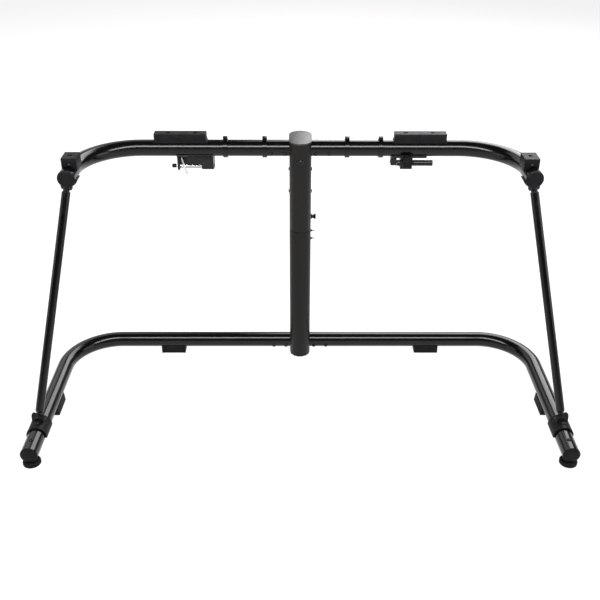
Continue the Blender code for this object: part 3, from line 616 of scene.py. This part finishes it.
def rail_stations(side, half_width, front, bend, z):
    stations = [(Vector((side * (COLUMN_HALF_X + GAP), REAR_Y, z)), Y_AXIS)]
    for i in range(BEND_STEPS + 1):
        angle = math.pi / 2 * i / BEND_STEPS
        outward = Vector((side * math.sin(angle), math.cos(angle), 0))
        centre = Vector((side * (half_width - bend), REAR_Y - bend, z))
        stations.append((centre + outward * bend, outward))
    stations.append((Vector((side * half_width, front, z)), X_AXIS * side))
    return stations


def rails():
    for body, bend, z in (("base", BASE_BEND, BASE_Z), ("top", TOP_BEND, TOP_Z)):
        for side, word in SIDES:
            node = f"{body}_rail_{word}"
            path = rail_stations(side, rail_half_width(node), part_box(node)[0].y, bend, z)
            piece(f"{node}_tube", tube_mesh(path, RAIL_RADIUS, RAIL_WALL), "gloss_paint", body, [node])


def end_caps():
    crown = 4.2
    profile = in_mm([(0, crown), (9, 4.1), (14, 3.7), (17.6, 2.7), (19.2, 1.3), (19.5, 0), (16.9, 0),
                     (16.9, -2.6), (14.4, -2.6), (14.4, 1.2), (0, 1.2)])
    for body in ("base", "top"):
        for _, word in SIDES:
            node = f"{body}_end_cap_{word}"
            centre = middle(node)
            spot = Vector((centre.x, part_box(node)[0].y + crown * MM, centre.z))
            mesh = moved(turned(profile, 64), aim(spot, -Y_AXIS))
            piece(f"{node}_disc", mesh, "dark_plastic", body, [node])


# ---------------------------------------------------------------- rests, clips

def rail_cutter(centre, axis, length=0.2):
    return moved(rod(RAIL_RADIUS + GAP, length, 64), aim(centre, axis))


def screw_well(x, y):
    """Counterbore and shank hole of a screw let into a rest's top face."""
    top = Vector((x, y, REST_TOP))
    return [moved(rod(4.8 * MM, 14 * MM, 32), Matrix.Translation(top)),
            moved(rod(2.7 * MM, THROUGH, 24), Matrix.Translation(top))]


def rear_pads():
    for side, word in SIDES:
        for part, screw_x in zip(("inner", "outer"), PAD_SCREW_X):
            node = f"rear_pad_{word}_{part}"
            low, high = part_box(node)
            near, far = sorted((abs(low.x), abs(high.x)))
            near_flare, far_flare = (PAD_FLARE, 0) if part == "inner" else (0, PAD_FLARE)
            near += near_flare
            far -= far_flare
            shoulder = low.z + PAD_SHOULDER
            outline = [(near - near_flare, low.z), (far + far_flare, low.z), (far, shoulder),
                       (far, high.z), (near, high.z), (near, shoulder)]
            mesh = extruded([[(side * x, z) for x, z in outline]], high.y - low.y)
            moved(mesh, Matrix.Translation((0, high.y, 0)) @ Matrix.Rotation(math.pi / 2, 4, "X"))
            cuts = [rail_cutter(Vector((side * screw_x, REAR_Y, TOP_Z)), X_AXIS)]
            cuts += screw_well(side * screw_x, REAR_Y)
            piece(f"{node}_block", carved(mesh, cuts=cuts, bevel=1.1 * MM), "dark_plastic", "top", [node])


def front_blocks():
    for side, word in SIDES:
        node = f"front_block_{word}"
        low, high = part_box(node)
        centre = (low + high) / 2
        mesh = moved(block(high - low), Matrix.Translation(centre))
        rail_x = side * rail_half_width(f"top_rail_{word}")
        screw_spot = Vector((centre.x, low.y, REST_TOP - BLOCK_SCREW_DROP))
        front = moved(rod(2.5 * MM, 26 * MM, 24), aim(screw_spot, Y_AXIS))
        cuts = [rail_cutter(Vector((rail_x, centre.y, TOP_Z)), Y_AXIS), front]
        cuts += screw_well(centre.x, centre.y)
        piece(f"{node}_body", carved(mesh, cuts=cuts, bevel=0.9 * MM), "dark_plastic", "top", [node])


def cable_clips():
    inside, outside = RAIL_RADIUS + GAP, RAIL_RADIUS + 3.4 * MM
    for index in range(1, 5):
        node = f"cable_clip_{index}"
        low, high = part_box(node)
        centre = joint_point(f"clip_turn_{index}")
        half = (high.x - low.x) / 2
        profile = [(outside, half), (outside, -half), (inside, -half), (inside, half)]
        band = moved(turned(softened(profile, 0.7 * MM), 64), aim(centre, X_AXIS))
        ears = block((10.4 * MM, 8 * MM, 9 * MM))
        moved(ears, Matrix.Translation(centre + Z_AXIS * (RAIL_RADIUS + 3.9 * MM)))
        slit = block((20 * MM, 1.6 * MM, 20 * MM))
        moved(slit, Matrix.Translation(centre + Z_AXIS * (RAIL_RADIUS + 6 * MM)))
        cuts = [rail_cutter(centre, X_AXIS, 40 * MM), slit]
        mesh = carved(band, joins=[ears], cuts=cuts, bevel=0.4 * MM, segments=2)
        piece(f"{node}_band", mesh, "gloss_paint", node, [node])


# ---------------------------------------------------------------- clamps under the top rails

def cradle(low_x, high_x, radius, start, stop):
    """Curved skin under a top rail, from start to stop degrees round the rail."""
    skin = arc(radius, start, stop, 32) + arc(17 * MM, stop, start, 32)
    turn = Matrix(((0, 0, 1, 0), (1, 0, 0, 0), (0, 1, 0, 0), (0, 0, 0, 1)))
    return moved(extruded([skin], high_x - low_x), Matrix.Translation((low_x, REAR_Y, TOP_Z)) @ turn)


def lug(size, x, drop):
    """Block of a size in millimetres, its middle a drop in millimetres below a top rail's axis."""
    return moved(block(Vector(size) * MM), Matrix.Translation((x, REAR_Y, TOP_Z - drop * MM)))


def left_clamp():
    low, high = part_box("left_clamp_bracket")
    axis = joint_point("left_clamp_turn")
    end = lug((5, 16, 32), low.x + 2.5 * MM, 36)
    body = lug((61, 20, 18), high.x - 30.5 * MM, 28)
    nose = lug((28, 14, 14), high.x - 14 * MM, 43.5)
    joins = [end, body, nose]
    centre = Vector(((low.x + high.x) / 2, REAR_Y, TOP_Z))
    flange, back_web = (13.5, 12, 18.75, 19), (3, 43, 24, 36.5)
    for depth, height, y, drop in (flange, back_web):
        web = block((high.x - low.x, depth * MM, height * MM))
        joins.append(moved(web, Matrix.Translation(centre + Vector((0, y * MM, -drop * MM)))))
    cuts = [rail_cutter(Vector((middle("left_clamp_bracket").x, REAR_Y, TOP_Z)), X_AXIS),
            moved(rod(3.5 * MM, 0.2, 32), aim(axis, X_AXIS))]
    mesh = carved(cradle(low.x, high.x, 21.3 * MM, 215, 325), joins, cuts, bevel=0.8 * MM)
    piece("left_clamp_body", mesh, "black_steel", "top", ["left_clamp_bracket"])

    rod_low, rod_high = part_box("left_clamp_rod")
    centre = Vector(((rod_low.x + rod_high.x) / 2, axis.y, axis.z))
    shaft = moved(rod(TOMMY_RADIUS, rod_high.x - rod_low.x), aim(centre, X_AXIS))
    slanted = (-math.sin(TOMMY_SLANT), 0, math.cos(TOMMY_SLANT))
    handle = moved(rod(TOMMY_RADIUS, TOMMY_LENGTH, 32), aim(axis, slanted))
    piece("left_clamp_tommy_bar", carved(shaft, [handle], bevel=0.4 * MM), "bright_steel", "left_clamp_screw",
          ["left_clamp_rod"])
    knob = middle("left_clamp_knob")
    profile = in_mm([(4.6, 5), (4.6, -5), (3.3, -5), (3.3, 5)])
    mesh = moved(turned(softened(profile, 0.8 * MM)), aim(knob, -X_AXIS))
    piece("left_clamp_grip", mesh, "dark_plastic", "left_clamp_screw", ["left_clamp_knob"])


def right_clamp():
    low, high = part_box("right_clamp_bracket")
    bar_low, bar_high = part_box("right_clamp_bar")
    bar = (bar_low + bar_high) / 2
    star = joint_point("star_knob_turn")
    joins = [lug((14, 16, 20), low.x + 7 * MM, 30), lug((28, 22, 30), star.x, 33)]
    cuts = [rail_cutter(Vector((star.x, REAR_Y, TOP_Z)), X_AXIS), moved(rod(7.6 * MM, 0.2), aim(bar, X_AXIS)),
            moved(rod(3.3 * MM, 20 * MM, 32), aim(Vector((star.x, REAR_Y - 11 * MM, star.z)), Y_AXIS))]
    mesh = carved(cradle(low.x, high.x, 23.5 * MM, 220, 320), joins, cuts, bevel=0.8 * MM)
    piece("right_clamp_body", mesh, "black_steel", "top", ["right_clamp_bracket"])
    radius, half = (bar_high.z - bar_low.z) / 2, (bar_high.x - bar_low.x) / 2
    profile = softened([(0, half), (radius, half), (radius, -half), (0, -half)], 1 * MM)
    piece("right_clamp_round_bar", moved(turned(profile), aim(bar, X_AXIS)), "gloss_paint", "clamp_bar",
          ["right_clamp_bar"])
    outline = []
    for i in range(STAR_POINTS):
        angle = 2 * math.pi * i / STAR_POINTS
        size = STAR_RADIUS * (0.89 + 0.11 * math.cos(STAR_LOBES * angle))
        outline.append((size * math.cos(angle), size * math.sin(angle)))
    profile = [(0, 11.5), (4.5, 11.5), (6.5, 9.5), (6.5, -2), (3.6, -2), (3.6, -9.6), (3, -9.6), (3, -14),
               (0, -14)]
    hub = turned(softened(in_mm(profile), 0.25 * MM))
    mesh = carved(extruded([outline], STAR_THICKNESS), joins=[hub], bevel=1.0 * MM)
    piece("star_knob_grip", moved(mesh, aim(star, joint_axis("star_knob_turn"))), "dark_plastic", "star_knob",
          ["star_knob"])


# ---------------------------------------------------------------- struts

def ear(reach, thickness, radius, foot):
    """Plate with a round end on its pivot, widening to twice foot at reach from it."""
    return extruded([arc(radius, 0, 180, 24) + [(-foot, -reach), (foot, -reach)]], thickness)


def ear_matrix(point, axis, offset, up):
    """Stands an ear on its pivot, square to the pin axis, with its round end facing up."""
    turn = Matrix((up.cross(axis), up, axis)).transposed().to_4x4()
    return Matrix.Translation(point + axis * offset) @ turn


def along_y(start_y, x, z):
    return Matrix.Translation((x, start_y, z)) @ Matrix.Rotation(math.pi / 2, 4, "X")


def pin_bore(point, axis):
    return moved(rod(PIN_BORE_RADIUS, THROUGH, 32), aim(point, axis))


def saddle(word, axis, pivot):
    x = middle(f"base_end_cap_{word}").x
    high_y, low_y = (REAR_Y - reach for reach in SADDLE_SPAN)
    centre = Vector((x, (high_y + low_y) / 2, BASE_Z))
    sleeve = extruded([arc(SADDLE_RADIUS, -12, 192, 48)], high_y - low_y)
    moved(sleeve, along_y(high_y, x, BASE_Z))
    joins = [moved(ear(22 * MM, LUG_WIDTH, EAR_RADIUS, EAR_FOOT), ear_matrix(pivot, axis, offset, Z_AXIS))
             for offset in LUG_OFFSETS]
    room = moved(rod(7.8 * MM, 6.6 * MM), aim(pivot, axis))
    cuts = [rail_cutter(centre, Y_AXIS), room, pin_bore(pivot, axis)]
    mesh = carved(sleeve, joins, cuts, bevel=0.9 * MM)
    piece(f"saddle_{word}_body", mesh, "dark_plastic", "base", [f"saddle_clamp_{word}"])


def hanger(side, word, axis, pivot):
    rail_x = side * rail_half_width(f"top_rail_{word}")
    skin = extruded([arc(HANGER_RADIUS, 195, 345, 40)], HANGER_LENGTH)
    moved(skin, along_y(REAR_Y - HANGER_START, rail_x, TOP_Z))
    joins = [moved(ear(16 * MM, PLATE_THICKNESS, EAR_RADIUS, EAR_FOOT),
                   ear_matrix(pivot, axis, offset, -Z_AXIS)) for offset in PLATE_OFFSETS]
    room = moved(rod(7.9 * MM, 15.6 * MM), aim(pivot, axis))
    cuts = [rail_cutter(Vector((rail_x, pivot.y, TOP_Z)), Y_AXIS), room, pin_bore(pivot, axis)]
    mesh = carved(skin, joins, cuts, bevel=0.6 * MM)
    piece(f"hanger_{word}_body", mesh, "black_steel", "top", [f"strut_hanger_{word}"])


def pivot_pin(place, word, axis, pivot, length, body):
    half = length / 2
    profile = [(0, half), (PIN_RADIUS, half), (PIN_RADIUS, -half), (0, -half)]
    mesh = moved(turned(softened(profile, 0.6 * MM), 32), aim(pivot, axis))
    piece(f"{place}_pin_{word}", mesh, "black_steel", body, [f"{place}_pivot_pin_{word}"])


def saddles_and_hangers():
    for side, word in SIDES:
        axis = joint_axis(f"strut_lower_{word}").normalized()
        lower, upper = joint_point(f"strut_lower_{word}"), joint_point(f"strut_upper_{word}")
        saddle(word, axis, lower)
        hanger(side, word, axis, upper)
        pivot_pin("lower", word, axis, lower, LOWER_PIN_LENGTH, "base")
        pivot_pin("upper", word, axis, upper, UPPER_PIN_LENGTH, "top")


def struts():
    for _, word in SIDES:
        axis = joint_axis(f"strut_lower_{word}").normalized()
        lower, upper = joint_point(f"strut_lower_{word}"), joint_point(f"strut_upper_{word}")
        along = (upper - lower).normalized()
        length = (upper - lower).length - STRUT_END
        profile = [(STRUT_BORE, length), (STRUT_RADIUS, length), (STRUT_RADIUS, 15 * MM), (7 * MM, 10 * MM),
                   (0, 10 * MM), (0, 24 * MM), (STRUT_BORE, 24 * MM)]
        tang = moved(ear(TANG_REACH, TANG_THICKNESS, EYE_RADIUS, EYE_RADIUS),
                     ear_matrix(lower, axis, -TANG_THICKNESS / 2, -along))
        tube = moved(turned(softened(profile, 0.4 * MM)), aim(lower, along))
        piece(f"strut_{word}_tube", carved(tube, [tang], [pin_bore(lower, axis)]), "gloss_paint",
              f"strut_outer_{word}", [f"strut_outer_{word}"])
        profile = in_mm([(0, 18), (5.8, 18), (5.8, 290), (7.3, 290), (7.3, 2), (0, 2)])
        eye = moved(rod(EYE_RADIUS, 13 * MM), aim(upper, axis))
        tube = moved(turned(profile), aim(upper, -along))
        piece(f"strut_{word}_slider", carved(tube, [eye], [pin_bore(upper, axis)]), "black_steel",
              f"strut_inner_{word}", [f"strut_inner_{word}"])


# ---------------------------------------------------------------- floor contact

def floor_pads():
    outline = [(-19.6 * MM, 0), (19.6 * MM, 0), (17.6 * MM, 22 * MM), (-17.6 * MM, 22 * MM)]
    for _, word in SIDES:
        for part, along_x in (("rear", True), ("side", False)):
            node = f"base_{part}_pad_{word}"
            low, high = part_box(node)
            centre = Vector(((low.x + high.x) / 2, (low.y + high.y) / 2, FLOOR))
            length = high.x - low.x if along_x else high.y - low.y
            turn = Matrix.Rotation(math.pi / 2, 4, "X")
            if along_x:
                turn = Matrix.Rotation(math.pi / 2, 4, "Z") @ turn
            mesh = moved(extruded([outline], length), Matrix.Translation((0, 0, -length / 2)))
            moved(mesh, Matrix.Translation(centre) @ turn)
            cut = rail_cutter(Vector((centre.x, centre.y, BASE_Z)), X_AXIS if along_x else Y_AXIS)
            piece(f"{node}_block", carved(mesh, cuts=[cut], bevel=1.0 * MM), "black_rubber", "base", [node])


def feet():
    for _, word in SIDES:
        node = f"foot_{word}"
        low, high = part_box(node)
        rim, top = (high.x - low.x) / 2 / MM, (high.z - low.z) / MM
        profile = [(4.3, top), (rim - 3.5, top), (rim - 1.2, top - 0.9), (rim, top - 2.8), (rim, 0.8),
                   (rim - 0.8, 0), (0, 0), (0, 3), (4.3, 3)]
        spot = Vector((middle(node).x, middle(node).y, low.z))
        mesh = moved(turned(softened(in_mm(profile), 0.5 * MM), 64), Matrix.Translation(spot))
        piece(f"{node}_disc", mesh, "black_rubber", node, [node])


# ---------------------------------------------------------------- CAD nodes

def paint_nodes():
    """Every CAD node takes the material of its slot in the record, replaced or not."""
    slots = {row["node"]: row["material_slot"] for row in frame["record"]["subparts"]}
    for name, obj in frame["nodes"].items():
        obj.data.materials.clear()
        obj.data.materials.append(LOOKS[slots[name]])


# ---------------------------------------------------------------- floor, light, camera

def floor():
    mesh = bpy.data.meshes.new("floor")
    bm = bmesh.new()
    bmesh.ops.create_grid(bm, x_segments=8, y_segments=8, size=FLOOR_HALF_SIZE)
    bm.to_mesh(mesh)
    bm.free()
    mesh.materials.append(floor_look())
    obj = bpy.data.objects.new("floor", mesh)
    obj.location.z = FLOOR - FLOOR_GAP
    bpy.context.scene.collection.objects.link(obj)


def softbox(name, position, width, height, power):
    """Area light; power is in watts for each square metre of its face."""
    light = bpy.data.lights.new(name, "AREA")
    light.shape = "RECTANGLE"
    light.size = width
    light.size_y = height
    light.energy = power * width * height
    obj = bpy.data.objects.new(name, light)
    obj.location = position
    obj.rotation_euler = (Vector(LIGHT_TARGET) - Vector(position)).to_track_quat("-Z", "Y").to_euler()
    obj.visible_camera = False
    bpy.context.scene.collection.objects.link(obj)


def studio_world():
    """Pale at the horizon, dark overhead, as in a studio with a pale wall and a black ceiling."""
    world = bpy.data.worlds.new("studio")
    world.use_nodes = True
    tree = world.node_tree
    split = tree.nodes.new("ShaderNodeSeparateXYZ")
    tree.links.new(tree.nodes.new("ShaderNodeTexCoord").outputs["Generated"], split.inputs["Vector"])
    strength = map_range(tree, split.outputs["Z"], *HORIZON, *HORIZON_STRENGTH)
    tree.links.new(strength, tree.nodes["Background"].inputs["Strength"])
    tree.nodes["Background"].inputs["Color"].default_value = WALL_COLOUR
    bpy.context.scene.world = world


def lighting():
    studio_world()
    softbox("front_softbox", (0, -0.99, 1.58), 3.0, 0.42, 58)
    softbox("back_right_softbox", (1.1, 2.9, 2.6), 2.6, 2.6, 24)
    softbox("back_left_softbox", (-2.0, 2.7, 2.4), 2.4, 3.0, 5)
    softbox("left_softbox", (-2.6, -0.6, 0.9), 1.6, 1.0, 5)
    softbox("right_softbox", (2.6, -0.6, 0.9), 1.6, 1.0, 9)


def camera():
    data = bpy.data.cameras.new("camera")
    data.sensor_width = CAMERA_SENSOR
    data.lens = CAMERA_LENS
    obj = bpy.data.objects.new("camera", data)
    obj.location = CAMERA_PLACE
    facing = Matrix.Rotation(CAMERA_TURN, 4, "Z") @ Matrix.Rotation(math.pi / 2 - CAMERA_PITCH, 4, "X")
    obj.rotation_euler = (facing @ Matrix.Rotation(CAMERA_ROLL, 4, "Z")).to_euler()
    bpy.context.scene.collection.objects.link(obj)
    bpy.context.scene.camera = obj


column_shell("column_lower", "base")
column_shell("column_sleeve", "top")
column_lid()
column_fittings()
rails()
end_caps()
rear_pads()
front_blocks()
cable_clips()
left_clamp()
right_clamp()
saddles_and_hangers()
struts()
floor_pads()
feet()
rail_bolts()
rest_screws()
column_screws()
base_tube_screws()
paint_nodes()
floor()
lighting()
camera()
bpy.context.scene.view_settings.view_transform = "Standard"
